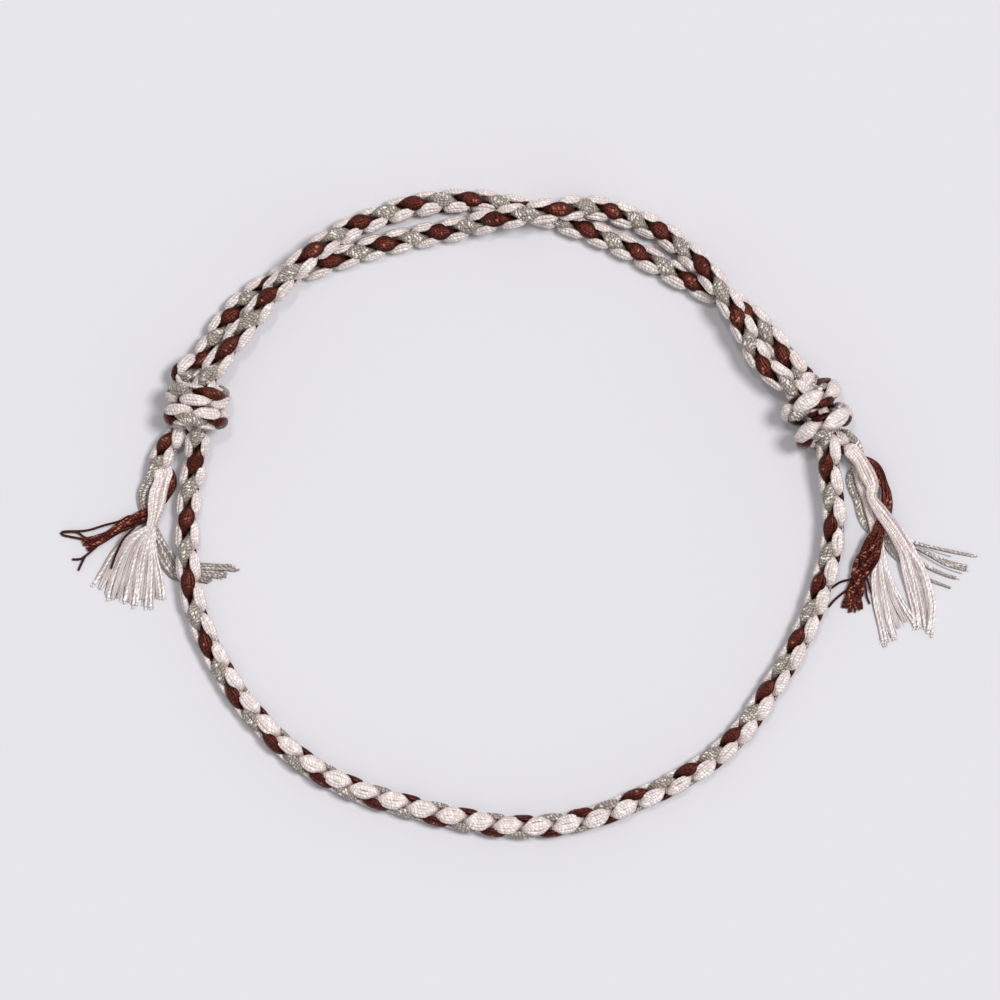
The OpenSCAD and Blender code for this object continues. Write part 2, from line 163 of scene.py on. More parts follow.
# Loose tails, each from the braid to its frayed root
RIGHT_TAILS = {
    "brown": [[34.2, 5.7, 1.4, 0.45, 0.22], [35.7, 4.8, 1.15, 0.55, 0.22], [36.5, 3.5, 0.8, 0.6, 0.22],
              [36.9, 2, 0.8, 0.65, 0.22], [36.8, 0.5, 1, 0.65, 0.22], [36.4, -0.9, 1.25, 0.75, 0.2],
              [35.8, -2.3, 1.35, 1.1, 0.2], [35, -4.2, 1.15, 1.15, 0.24], [34.2, -6.2, 0.6, 1.1, 0.26],
              [33.6, -7.9, 0.35, 1, 0.26]],
    "grey": [[34.2, 6.2, 0.95, 0.42, 0.24], [34.1, 5, 0.35, 0.4, 0.2], [33.3, 4, 0.3, 0.38, 0.2],
             [33.4, 2.9, 0.35, 0.38, 0.22], [34, 1.4, 0.3, 0.36, 0.2], [34.3, 0.1, 0.27, 0.36, 0.2],
             [35, -1.2, 0.25, 0.38, 0.18], [36.5, -2.2, 0.25, 0.42, 0.18], [38.4, -2.6, 0.27, 0.5, 0.18]],
    "white_a": [[34.1, 5.6, 1.95, 0.8, 0.24], [34.9, 4.1, 1.9, 0.95, 0.22], [35.4, 2.9, 1.85, 0.75, 0.22],
                [35.3, 1.8, 1.8, 0.55, 0.24], [36.2, 0.4, 1.8, 0.75, 0.2], [37.6, -1.5, 1.65, 0.85, 0.2],
                [38.8, -3.5, 0.9, 0.95, 0.2]],
    "white_b": [[33.7, 5.6, 0.8, 0.42, 0.2], [34, 4.4, 0.95, 0.5, 0.2], [34.3, 3, 0.95, 0.5, 0.2],
                [34.8, 1.7, 0.85, 0.5, 0.2], [35.2, 0.3, 0.8, 0.5, 0.18], [35.6, -1.2, 0.75, 0.5, 0.18],
                [36, -2.8, 0.75, 0.6, 0.18], [36.2, -4.2, 0.6, 0.7, 0.18]]}

# Frayed fans: guide lines from the root outwards, in order from one side of the fan to the other.
# Each guide: number of plies, width of its lock at the tip, points x, y, z
LEFT_FANS = {
    "brown": [
        [4, 0.4, [[-42.38, -2.2, 0.4], [-42.95, -2.4, 0.35], [-43.6, -2.65, 0.25]]],
        [4, 0.4, [[-42.2, -2.55, 0.4], [-42.85, -2.8, 0.3], [-43.55, -3.05, 0.2]]],
        [3, 0.4, [[-42.02, -2.9, 0.4], [-42.55, -3.15, 0.3], [-43.2, -3.45, 0.2]]]],
    "grey": [
        [4, 0.5, [[-36.2, -1.8, 0.3], [-35, -3.5, 0.22], [-33.7, -5.1, 0.18], [-31.6, -5.2, 0.15],
                  [-28.2, -5.3, 0.12]]],
        [4, 0.6, [[-36.2, -1.8, 0.3], [-35.4, -3.9, 0.22], [-34.1, -5.7, 0.18], [-31.6, -5.8, 0.15],
                  [-29.1, -6.1, 0.12]]],
        [3, 0.6, [[-36.2, -1.8, 0.3], [-36, -3.9, 0.22], [-34.6, -6, 0.18], [-32.4, -6.3, 0.15],
                  [-30.7, -6.8, 0.12]]]],
    "white_a": [
        [4, 0.8, [[-36.6, -1.2, 0.8], [-37.2, -3.2, 0.6], [-37.8, -6, 0.3], [-38.3, -9.4, 0.12]]],
        [4, 0.9, [[-36.5, -1.2, 0.8], [-36.7, -3.3, 0.5], [-36.8, -6.2, 0.25], [-36.9, -9.5, 0.12]]],
        [3, 0.6, [[-36.4, -1.2, 0.8], [-36.4, -3.4, 0.45], [-36, -5.9, 0.25], [-35.6, -8.4, 0.12]]]],
    "white_b": [
        [2, 0.8, [[-37.1, -1.2, 1.3], [-38.9, -2.2, 0.9], [-40.3, -3.9, 0.45], [-41.3, -5.6, 0.2],
                  [-42.4, -7.3, 0.12]]],
        [3, 0.9, [[-37, -1.2, 1.3], [-38.7, -2.7, 0.85], [-39.8, -4.6, 0.4], [-40.5, -6.6, 0.2],
                  [-41.1, -8.6, 0.12]]],
        [3, 0.8, [[-36.9, -1.2, 1.3], [-38.1, -3.1, 0.8], [-38.8, -5.4, 0.4], [-39.3, -7.4, 0.2],
                  [-39.8, -9.2, 0.12]]],
        [3, 0.6, [[-36.8, -1.2, 1.3], [-37.6, -3.2, 0.8], [-38.1, -5.4, 0.4], [-38.3, -7.2, 0.2],
                  [-38.4, -8.6, 0.12]]]]}
RIGHT_FANS = {
    "brown": [
        [4, 0.6, [[33.3, -7.8, 0.35], [32.9, -8.6, 0.3], [32.6, -9.4, 0.15]]],
        [4, 0.7, [[33.6, -7.8, 0.35], [33.5, -8.8, 0.3], [33.4, -9.8, 0.15]]],
        [3, 0.6, [[33.9, -7.8, 0.35], [34.1, -8.7, 0.3], [34.3, -9.6, 0.15]]]],
    "grey": [
        [3, 0.15, [[38.4, -2.5, 0.27], [41.3, -3.2, 0.2], [43.5, -3.7, 0.16], [45.95, -4.15, 0.12]]],
        [5, 0.5, [[38.4, -2.6, 0.27], [41, -3.8, 0.2], [43, -4.8, 0.16], [45.5, -5.5, 0.12]]],
        [3, 0.3, [[38.4, -2.7, 0.27], [40.6, -4.9, 0.2], [42.6, -5.9, 0.16], [44.4, -6.4, 0.12]]]],
    "white_a": [
        [3, 0.6, [[38.6, -3.5, 0.9], [38.7, -5.4, 0.6], [39.2, -7.6, 0.35], [39.7, -9.7, 0.2],
                  [39.9, -11.8, 0.12]]],
        [4, 0.8, [[38.8, -3.5, 0.9], [39.4, -5.4, 0.6], [40, -7.6, 0.35], [40.4, -9.7, 0.2],
                  [40.6, -11.2, 0.12]]],
        [4, 0.6, [[39, -3.5, 0.9], [40.3, -5.2, 0.6], [41.1, -7.2, 0.35], [41.5, -9.4, 0.2],
                  [41.2, -11.9, 0.12]]]],
    "white_b": [
        [3, 0.6, [[36, -4.2, 0.6], [35.6, -6.3, 0.4], [35.8, -8.6, 0.25], [36.4, -11.2, 0.15],
                  [36.8, -13.2, 0.12]]],
        [4, 0.7, [[36.2, -4.2, 0.6], [36.4, -6.4, 0.4], [36.7, -8.6, 0.25], [37.1, -10.7, 0.15],
                  [37.6, -12.6, 0.12]]],
        [4, 0.6, [[36.4, -4.2, 0.6], [37.1, -6.3, 0.4], [38, -8.2, 0.25], [38.9, -9.6, 0.15],
                  [39.7, -10.7, 0.12]]]]}
# Single threads that leave a strand on their own or lie across it: radius, how open (painted shade below 1,
# more painted glints over 1), points x, y, z
LEFT_SINGLES = {
    "brown": [
        [0.13, 0.4, [[-38.2, -0.3, 0.75], [-38.9, -0.1, 0.75], [-39.8, -0.6, 0.65], [-41.3, -1, 0.5],
                     [-43.2, -1.55, 0.3], [-45.4, -1.65, 0.16], [-45.75, -1.85, 0.14],
                     [-45.4, -2.05, 0.14], [-43.6, -2.4, 0.25], [-42.8, -2.6, 0.35]]],
        [0.12, 0.4, [[-45.55, -1.75, 0.2], [-44.8, -1.68, 0.3], [-44.05, -1.75, 0.3], [-43.4, -2.2, 0.3],
                     [-42.9, -2.4, 0.4]]],
        [0.13, 0.4, [[-41.6, -2.4, 0.45], [-42.05, -3.05, 0.4], [-42.6, -3.55, 0.35], [-43.2, -4.05, 0.3],
                     [-43.8, -4.4, 0.2], [-44.6, -4.45, 0.14]]],
        [0.13, 0.4, [[-42.9, -3.8, 0.3], [-43.3, -4.15, 0.25], [-43.6, -4.7, 0.2], [-44, -5.55, 0.14]]],
        [0.13, 0.4, [[-37.6, -0.3, 0.9], [-38.3, -1.2, 1.35], [-39.3, -2.2, 1.35], [-39.9, -3.2, 1.05],
                     [-40.4, -4.4, 0.8], [-40.7, -5.35, 0.6]]],
        [0.13, 1.1, [[-37.9, 0.1, 0.85], [-39.3, -0.85, 1], [-41, -2.15, 0.85], [-42.6, -3.05, 0.45]]],
        [0.12, 0.7, [[-38.7, -1.2, 0.75], [-40.2, -1.65, 0.95], [-41.6, -2.1, 0.8], [-43.2, -2.65, 0.35]]]],
    "grey": [], "white_a": [], "white_b": []}
RIGHT_SINGLES = {
    "brown": [
        [0.13, 0.4, [[33.9, -5.9, 0.7], [33.3, -6.4, 0.5], [32.3, -6.7, 0.3], [31.4, -7.3, 0.14]]],
        [0.13, 0.4, [[33.2, -7.3, 0.4], [32.4, -7.9, 0.3], [31.7, -8.5, 0.2], [31.1, -9.2, 0.14]]],
        [0.12, 0.4, [[34.5, -6.3, 0.6], [34.8, -7.3, 0.4], [34.9, -8.1, 0.25], [35.2, -8.9, 0.14]]],
        [0.11, 0.4, [[34.6, -5.9, 0.6], [35.1, -6.9, 0.4], [35.3, -7.6, 0.25], [35.7, -8.2, 0.14]]],
        [0.15, 1.2, [[36.7, -1.9, 1.35], [35.9, -2.8, 1.75], [35, -3.6, 1.65], [34.3, -4, 1.15]]],
        [0.15, 0.6, [[35.1, -2.1, 1.3], [35.3, -3.2, 1.7], [35.5, -4, 1.6], [35.8, -4.6, 1.1]]],
        [0.16, 1.2, [[36.1, -3.7, 1.1], [35.2, -4.4, 1.55], [34.2, -5.5, 1.25], [33.4, -5.9, 0.7]]],
        [0.15, 0.7, [[34.2, -4, 1.15], [34.5, -5, 1.5], [34.7, -5.9, 1.15], [35, -6.5, 0.6]]],
        [0.15, 1.2, [[35.4, -5.3, 0.8], [34.5, -6.1, 1.1], [33.6, -7.1, 0.8], [32.9, -7.6, 0.4]]],
        [0.15, 0.5, [[33.4, -5.9, 0.7], [33.8, -6.9, 0.9], [34.1, -7.8, 0.65], [34.3, -8.4, 0.35]]]],
    "grey": [
        [0.13, 0.8, [[36.4, -2.2, 0.25], [36.9, -3.3, 0.2], [38, -4.5, 0.18], [40, -5.9, 0.16],
                     [41.8, -6.7, 0.15], [43.3, -7.3, 0.14]]],
        [0.1, 0.8, [[36.6, -2.2, 0.25], [37.2, -3.4, 0.2], [38.3, -4.7, 0.18], [40.2, -6, 0.16],
                    [41.7, -6.75, 0.15], [42.4, -7, 0.14]]]],
    "white_a": [], "white_b": []}
SINGLE_POINTS = 40
# Least height of a single thread's middle, in its radii
SINGLE_HEIGHT = 0.8

# Places of the plies in a strand's section, as shares of the room in it, in an upper and a lower row
PLIES = [(-0.95, 0.2), (-0.6, 0.75), (-0.2, 0.95), (0.2, 0.95), (0.6, 0.75), (0.95, 0.2),
         (-0.75, -0.6), (-0.38, -0.85), (0, -0.95), (0.38, -0.85), (0.75, -0.6)]
# Radius of a ply where it has room, and the sides of its own section
PLY_RADIUS = {"brown": 0.25, "grey": 0.185, "white_a": 0.205, "white_b": 0.205}
PLY_SIDES = 6
# Share of a strand's half thickness that a ply's radius may take, and its least radius
PLY_FILL = 0.85
PLY_LEAST = 0.1
# How far inside a strand the plies' middles stay across its width and across its thickness, in radii
# of a ply, and the least room that is left there
WIDE_ROOM = (0.7, 0.05)
THIN_ROOM = (0.75, 0.03)
# Waves of a ply across a strand's width and thickness: size, and the range of radians per section
WIDE_WAVE = (0.08, 0.05, 0.09)
THIN_WAVE = (0.1, 0.06, 0.1)
# Range that the start of a wave is drawn from, in radians
WAVE_START = (0, 6)

# Distance between the sections of a loose tail, and their least number
TAIL_STEP = 0.28
TAIL_SECTIONS = 8
# How far the plies of a loose tail turn round its middle, in turns per mm
TAIL_TWIST = {"brown": 0.2, "grey": 0.1, "white_a": 0.05, "white_b": 0.05}
# How loosely the plies of a tail weave through each other, from 0 to 1, and its share across the width
TAIL_SLACK = {"brown": 0.6, "grey": 0.3, "white_a": 0.2, "white_b": 0.2}
WEAVE = 0.4
# Length of tail, from the braid on, over which its plies loosen, and over which its painted light and shade
# change
LOOSENING = 2
LIGHTENING = 1.5

# How open to the light a place is, which sets the light and shade painted into its colour: 1 in the open, 0
# pressed under the other strands, and over 1 it gets more painted glints.
# How quickly the painted shade deepens as a strand dives under the others, and how much painted shade its
# edges get
OPEN_SLOPE = {"brown": 1.6, "grey": 0.4, "white_a": 0.17, "white_b": 0.17}
EDGE_SHADE = {"brown": 0.95, "grey": 0.2, "white_a": 0.2, "white_b": 0.2}
# How open the loose tails are, over 1 with more painted glints, and how much the painted shade differs
# between their plies
TAIL_OPEN = {"brown": 1.18, "grey": 1.5, "white_a": 1.25, "white_b": 1.25}
TAIL_CONTRAST = {"brown": 0.85, "grey": 0.45, "white_a": 0.7, "white_b": 0.7}
# How open the tips of the plies, the ribbons, the filaments and the tufts are, which sets their painted
# shade and glints
PLY_OPEN = {"brown": 0.9, "grey": 0.9, "white_a": 1.0, "white_b": 1.0}
RIBBON_OPEN = 0.7
FILAMENT_OPEN = 0.8
TUFT_OPEN = 1.0

# Points along a line of a fan, fewest that a cut line keeps before it is smoothed again, and the point
# at which the guides have spread enough to tell the fan's sides
FAN_POINTS = 26
FEWEST_POINTS = 6
SPREAD_POINT = 6
# Way along a fan's line, from 0 at its root to 1 at its tip
ALONG = np.linspace(0, 1, FAN_POINTS)[:, None]
# Plies that stay twisted to the tip, soft ribbons and loose filaments of a frayed end, left and right
KEPT_PLIES = {"brown": (11, 11), "grey": (8, 11), "white_a": (6, 7), "white_b": (4, 6)}
RIBBONS = {"brown": (0, 0), "grey": (5, 0), "white_a": (7, 7), "white_b": (8, 7)}
FILAMENTS = {"brown": (0, 0), "grey": (12, 4), "white_a": (18, 18), "white_b": (24, 18)}

# Plies of a fan: how soon and how sharply they spread over their lock, and how soon they leave the tail
PLY_SPREAD = (1.6, 1.2)
PLY_LEAVING = 5
# Size of their sway and its rate, and shares of the fan's length that kept and unravelled plies reach
PLY_SWAY = 0.09
PLY_SWAY_RATE = 5
KEPT_REACH = (0.9, 1.0)
UNRAVELLED_REACH = (0.3, 0.45)
# Radius at the tip of a kept ply and of an unravelled one
TIP_RADIUS = 0.11
UNRAVELLED_RADIUS = 0.02
# How much wider a kept ply's tip is where it sheds a tuft, and how sharply it widens there
TIP_FLARE = 0.09
FLARE_SHARPNESS = 8

# Filaments: radius, range of its share, sides, points, and mm of pattern in a mm of thread
FILAMENT_RADIUS = 0.03
FILAMENT_SIZES = (0.7, 1.2)
FILAMENT_SIDES = 4
FILAMENT_POINTS = 18
FILAMENT_STRETCH = 0.15
# How soon they leave the tail, how far they drift aside and sway, and the range of the sway's rate
FILAMENT_LEAVING = 4
FILAMENT_DRIFT = 0.25
FILAMENT_SWAY = 0.12
FILAMENT_SWAY_RATE = (2, 6)
# How far they rise at most, and how soon
FILAMENT_RISE = 0.12
FILAMENT_RISING = 4
# Chance that one is long, and shares of the fan's length that long and short ones reach
LONG_CHANCE = 0.8
LONG_REACH = (0.85, 1.0)
SHORT_REACH = (0.5, 0.9)

# Ribbons: thickness, sides, mm of pattern in a mm of ribbon, and times that the pattern goes round
RIBBON_THICKNESS = 0.12
RIBBON_SIDES = 16
RIBBON_STRETCH = 0.12
RIBBON_WRAPS = 14
# Least half width, and range of the half width as a share of the distance between two ribbons
RIBBON_LEAST = 0.16
RIBBON_WIDTHS = (0.8, 1.0)
# Share of the fan's spread by which the outer ribbons pass it, range of their reach, and drift aside
RIBBON_EXCESS = 0.12
RIBBON_REACH = (0.86, 1.0)
RIBBON_DRIFT = 0.06
# How far the ribbons lie below the guides, and how much higher every second one lies
RIBBON_SINK = 0.06
RIBBON_STAGGER = 0.05
# How much of its width and of its thickness a ribbon loses at its tip, and how sharply
RIBBON_NARROWING = (0.6, 5)
RIBBON_THINNING = (0.7, 3)
# Size and number of the waves round its section, and least height above the surface
RIBBON_RIPPLE = 0.12
RIBBON_RIPPLES = 5
RIBBON_HEIGHT = 0.01

# Tufts: filaments in one, points along each, range of their reach, spread, bend aside, and rise or fall
TUFT_FILAMENTS = 9
TUFT_POINTS = 8
TUFT_REACH = (0.15, 0.4)
TUFT_SPREAD = 0.14
TUFT_BEND = 0.05
TUFT_RISE = 0.05

# Step in u from the start of one thread to the start of the next, so that neighbours differ
UV_STEP = 41.87
# Pieces of a smooth line between two of its points
LINE_STEPS = 12
# A thread that starts steeper than this has its first corner towards +X, and otherwise upwards
STEEP = 0.9
UP = np.array([0, 0, 1.0])
ASIDE = np.array([1.0, 0, 0])
TINY = 1e-12


def unit(v):
    return v / np.maximum(np.linalg.norm(v, axis=-1, keepdims=True), TINY)


def blend(pair, share):
    return pair[0] + (pair[1] - pair[0]) * share


def run_along(line):
    """Distance from the start of a line to each of its points."""
    return np.concatenate([[0], np.cumsum(np.linalg.norm(np.diff(line, axis=0), axis=1))])


def smooth_line(points, count):
    """Points along a smooth curve through the given points, evenly spaced."""
    p = np.array(points, float)
    if len(p) < 3:
        return p[0] + (p[-1] - p[0]) * np.linspace(0, 1, count)[:, None]
    ends = np.vstack([2 * p[0] - p[1], p, 2 * p[-1] - p[-2]])
    f = np.linspace(0, 1, LINE_STEPS, endpoint=False)[:, None]
    pieces = []
    for a, b, c, d in zip(ends, ends[1:], ends[2:], ends[3:]):
        pieces.append(0.5 * (2 * b + (c - a) * f + (2 * a - 5 * b + 4 * c - d) * f * f
                             + (3 * b - 3 * c + d - a) * f ** 3))
    fine = np.vstack(pieces + [p[-1:]])
    run = run_along(fine[:, :3])
    at = np.linspace(0, run[-1], count)
    return np.stack([np.interp(at, run, fine[:, k]) for k in range(fine.shape[1])], 1)


def flat(rows, girth=1.0):
    """Rows of the route in full: the roll of a flat row is measured from straight up."""
    return [[turn, x, y, z, *UP, roll, girth] for turn, x, y, z, roll in rows]


def wraps(knot):
    """Rows of a knot's wraps in full: their roll is measured from the way to the knot's middle."""
    start, step, slope, angles, knot_turns, rolls = knot
    count = round(abs(angles[1] - angles[0]) / WRAP_STEP)
    across = np.array([math.cos(math.radians(slope)), math.sin(math.radians(slope))])
    rows = []
    for i in range(count + 1):
        share = i / count
        angle = blend(angles, share)
        side, drop = -math.cos(math.radians(angle)), math.sin(math.radians(angle))
        middle = np.array(start) + np.array(step) * angle / 360
        xy = middle + across * WRAP_RADIUS * side
        rows.append([blend(knot_turns, share), xy[0], xy[1], KNOT_Z - WRAP_HEIGHT * drop,
                     -side * across[0], -side * across[1], drop, blend(rolls, share), KNOT_GIRTH])
    return rows


route = np.array(flat(LEFT_END, END_GIRTH) + wraps(LEFT_KNOT) + flat(RUN_UNDER) + flat(LOOP)
                 + flat(RUN_OVER) + wraps(RIGHT_KNOT) + flat(RIGHT_END, END_GIRTH), float)


def rows_at(t):
    """The route's rows at the turns t, on a smooth curve through the table."""
    n = len(route)
    i = np.clip(np.searchsorted(route[:, 0], t, side="right") - 1, 0, n - 2)

    def slope(k):
        a, b = np.maximum(k - 1, 0), np.minimum(k + 1, n - 1)
        return (route[b] - route[a]) / (route[b, 0] - route[a, 0])[:, None]

    gap = (route[i + 1, 0] - route[i, 0])[:, None]
    f = (t - route[i, 0])[:, None] / gap
    return (route[i] * (1 + 2 * f) * (1 - f) ** 2 + route[i + 1] * f * f * (3 - 2 * f)
            + (slope(i) * f * (1 - f) ** 2 - slope(i + 1) * f * f * (1 - f)) * gap)


def braid_frames():
    """Turns, middles, top faces, sides and girths of the cord's sections along the braid."""
    first, last = route[0, 0], route[-1, 0]
    count = round((last - first) * SECTIONS_PER_TURN)
    t = first + np.arange(count + 1) / SECTIONS_PER_TURN
    row = rows_at(t)
    ahead = unit(rows_at(t + PROBE)[:, 1:4] - rows_at(t - PROBE)[:, 1:4])
    sky = row[:, 4:7]
    top = unit(sky - ahead * np.sum(ahead * sky, 1, keepdims=True))
    roll = np.radians(row[:, 7:8])
    face = top * np.cos(roll) + np.cross(ahead, top) * np.sin(roll)
    return t, row[:, 1:4], face, np.cross(ahead, face), row[:, 8:9]


turns, middles, faces, sides, girths = braid_frames()


def braided_sections(name):
    """Middle, wide half axis, thin half axis, fold and height in the braid of a strand's sections."""
    leans_right = name in LEANS_RIGHT
    a = np.radians(360 * turns + (180 if name in OPPOSITE else 0))[:, None]
    hurry = math.radians(UNDER_HURRY) * np.sin(2 * a)
    b = a - hurry if leans_right else a + hurry
    across = np.cos(b) if leans_right else np.sin(b)
    over = across ** 2
    full_width, full_thickness = FULLNESS[name]
    wide = (FLAT_THICKNESS + (TOP_WIDTH - FLAT_THICKNESS) * over ** SWELL[name]) / 2 * full_width
    thin = (UNDER_WIDTH - (UNDER_WIDTH - FLAT_THICKNESS) * over ** THICKENING) / 2 * full_thickness
    fold = EDGE_FOLD * over ** UNFOLDING * np.sign(across) * full_width
    face, side = faces * girths, sides * girths
    if leans_right:
        middle = middles + face * OVER_RADIUS * np.cos(b) + side * UNDER_RADIUS * np.sin(b)
        return middle, side * wide, face * thin, face * fold, over[:, 0]
    middle = middles + face * UNDER_RADIUS * np.cos(b) - side * OVER_RADIUS * np.sin(b)
    return middle, face * wide, side * thin, -side * fold, over[:, 0]


def tail_sections(rows, join, wide_hint):
    """Middle, wide and thin half axis of a loose tail's sections, away from the braid's last one."""
    table = np.vstack([[*join, rows[0][3], rows[0][4]], rows])
    length = run_along(table[:, :3])[-1]
    line = smooth_line(table, max(TAIL_SECTIONS, round(length / TAIL_STEP)))
    ahead = unit(np.gradient(line[:, :3], axis=0))
    top = unit(UP - ahead * ahead[:, 2:3])
    level = np.cross(ahead, top)
    if level[0] @ wide_hint < 0:
        level, top = -level, -top
    return line[:, :3], level * line[:, 3:4], top * line[:, 4:5]


def joined(left, braid, right):
    """Values along a whole strand: two tails that start at the braid's ends, and the braid between."""
    return np.concatenate([left[:0:-1], braid, right[1:]])


def room(half, radius, inset, least):
    """Share of a half axis that the middles of the plies can use."""
    return np.maximum(half - radius * inset, least) / half


def wave(sections, rng, size, slowest, fastest):
    return size * np.sin(sections * rng.uniform(slowest, fastest) + rng.uniform(*WAVE_START))


class Strand:
    """Sections of one strand from its left root to its right root, and the room for plies in them."""

    def __init__(self, name):
        self.name = name
        middle, wide, thin, fold, over = braided_sections(name)
        left, left_wide, left_thin = tail_sections(LEFT_TAILS[name][::-1], middle[0], wide[0])
        right, right_wide, right_thin = tail_sections(RIGHT_TAILS[name], middle[-1], wide[-1])
        self.middle = joined(left, middle, right)
        self.wide = joined(left_wide, wide, right_wide)
        self.thin = joined(left_thin, thin, right_thin)
        self.fold = joined(left * 0, fold, right * 0)
        # How high a section lies in the braid, from 0 to 1, and whether it is in the braid
        self.over = joined(np.ones(len(left)), over, np.ones(len(right)))
        self.braided = joined(np.zeros(len(left)), np.ones(len(over)), np.zeros(len(right)))
        run = run_along(self.middle)
        first, last = run[len(left) - 1], run[len(run) - len(right)]
        # Length of loose tail between a section and the braid
        self.loose = np.maximum(0, np.maximum(first - run, run - last))
        half_wide = np.linalg.norm(self.wide, axis=1)
        half_thin = np.linalg.norm(self.thin, axis=1)
        self.radius = np.minimum(PLY_RADIUS[name], np.maximum(half_thin * PLY_FILL, PLY_LEAST))
        self.room_x = room(half_wide, self.radius, *WIDE_ROOM)
        self.room_y = room(half_thin, self.radius, *THIN_ROOM)

    def ply(self, number, place, rng):
        """Line of one ply, and how open each place of it is, which sets the shade and glints painted on it.
        """
        x, y = place
        sections = np.arange(len(self.middle))
        twist = self.loose * TAIL_TWIST[self.name] * 2 * np.pi
        slack = np.minimum(1, self.loose / LOOSENING) * TAIL_SLACK[self.name]
        wave_x = wave(sections, rng, *WIDE_WAVE)
        wave_y = wave(sections, rng, *THIN_WAVE)
        start = rng.uniform(0, 2 * np.pi)
        x = x * (1 - WEAVE * slack) + WEAVE * slack * np.sin(twist + start) + wave_x
        y = y * (1 - slack) + slack * np.cos(twist + start) + wave_y
        x, y = np.clip(x, -1, 1), np.clip(y, -1, 1)
        xs, ys = (x * self.room_x)[:, None], (y * self.room_y)[:, None]
        line = self.middle + self.wide * xs + self.thin * ys - self.fold * xs ** 2
        # Painted shade towards the edges of a strand in the braid
        painted_edge_shade = 1 - EDGE_SHADE[self.name] * self.braided * x ** 2
        # Painted shade: every second ply of a tail is darker than its neighbours
        depth = 0.5 * rng.uniform(0, 1) + 0.5 * ((number + 1) % 2)
        tail = TAIL_OPEN[self.name] * (1 - TAIL_CONTRAST[self.name] * depth)
        painted_tail_light = 1 - (1 - tail) * np.minimum(1, self.loose / LIGHTENING)
        return line, self.over ** OPEN_SLOPE[self.name] * painted_edge_shade * painted_tail_light


def corners(sides):
    """Angles of the corners of a section with the given number of sides."""
    return 2 * np.pi * np.arange(sides) / sides


def lift(line, least):
    """Raises the low places of a line to the least height above the surface."""
    line[:, 2] = np.maximum(line[:, 2], least)
    return line


class Threads:
    """Collects threads into one mesh, with u along each thread in mm, v round it, and how open it is, which
    sets its painted shade and glints.
    """

    def __init__(self):
        self.points, self.faces, self.uv, self.open, self.count, self.threads = [], [], [], [], 0, 0

    def add(self, line, radius, sides, stretch=1.0, open_share=1.0, around=1):
        """A round thread along a line."""
        n = len(line)
        radius = np.broadcast_to(np.asarray(radius, float).reshape(-1, 1), (n, 1))
        ahead = unit(np.gradient(line, axis=0))
        across = np.zeros((n, 3))
        start = UP if abs(ahead[0, 2]) < STEEP else ASIDE
        across[0] = unit(start - ahead[0] * (ahead[0] @ start))
        for i in range(1, n):
            v = across[i - 1] - ahead[i] * (ahead[i] @ across[i - 1])
            across[i] = v / np.linalg.norm(v)
        other = np.cross(ahead, across)
        angle = corners(sides)
        ring = (across[:, None] * np.cos(angle)[None, :, None]
                + other[:, None] * np.sin(angle)[None, :, None]) * radius[:, None]
        self.sweep(line[:, None] + ring, line, stretch, around, open_share)

    def add_filament(self, line, radius, open_share):
        """A thin round thread whose pattern is the same all round."""
        self.add(lift(line, FILAMENT_RADIUS), radius, FILAMENT_SIDES, FILAMENT_STRETCH, open_share, 0)

    def sweep(self, rings, line, stretch, around, open_share):
        """A skin over the rings, with the pattern stretched along the line and wrapped round it."""
        n, sides = rings.shape[:2]
        i, k = np.meshgrid(np.arange(n - 1), np.arange(sides), indexing="ij")
        a = i * sides + k
        b = i * sides + (k + 1) % sides
        quads = np.stack([a, b, b + sides, a + sides], -1).reshape(-1, 4) + self.count
        run = run_along(line) * stretch + UV_STEP * self.threads
        u = np.stack([run[i], run[i], run[i + 1], run[i + 1]], -1).reshape(-1)
        v = np.stack([k, k + 1, k + 1, k], -1).reshape(-1) / sides * around
        self.points.append(rings.reshape(-1, 3))
        self.open.append(np.repeat(np.broadcast_to(open_share, n), sides))
        self.faces.append(quads)
        self.uv.append(np.stack([u, v], 1))
        self.count += n * sides
        self.threads += 1

    def piece(self, name, material):
        """The piece that the threads make together."""
        points = np.vstack(self.points) * MM
        quads = np.vstack(self.faces)
        mesh = bpy.data.meshes.new(name)
        mesh.vertices.add(len(points))
        mesh.vertices.foreach_set("co", points.astype(np.float32).ravel())
        mesh.loops.add(quads.size)
        mesh.loops.foreach_set("vertex_index", quads.astype(np.int32).ravel())
        mesh.polygons.add(len(quads))
        mesh.polygons.foreach_set("loop_start", np.arange(0, quads.size, 4, dtype=np.int32))
        layer = mesh.uv_layers.new(name="UVMap")
        layer.data.foreach_set("uv", np.vstack(self.uv).astype(np.float32).ravel())
        openness = mesh.attributes.new("open", "FLOAT", "POINT")
        openness.data.foreach_set("value", np.concatenate(self.open).astype(np.float32))
        mesh.update(calc_edges=True)
        mesh.polygons.foreach_set("use_smooth", np.ones(len(quads), bool))
        mesh.materials.append(material)
        piece = bpy.data.objects.new(name, mesh)
        bpy.context.scene.collection.objects.link(piece)
        return piece


def cut(line, share, count):
    """The given share of a fan's line, with the given number of points."""
    return smooth_line(line[:max(FEWEST_POINTS, round(FAN_POINTS * share))], count)


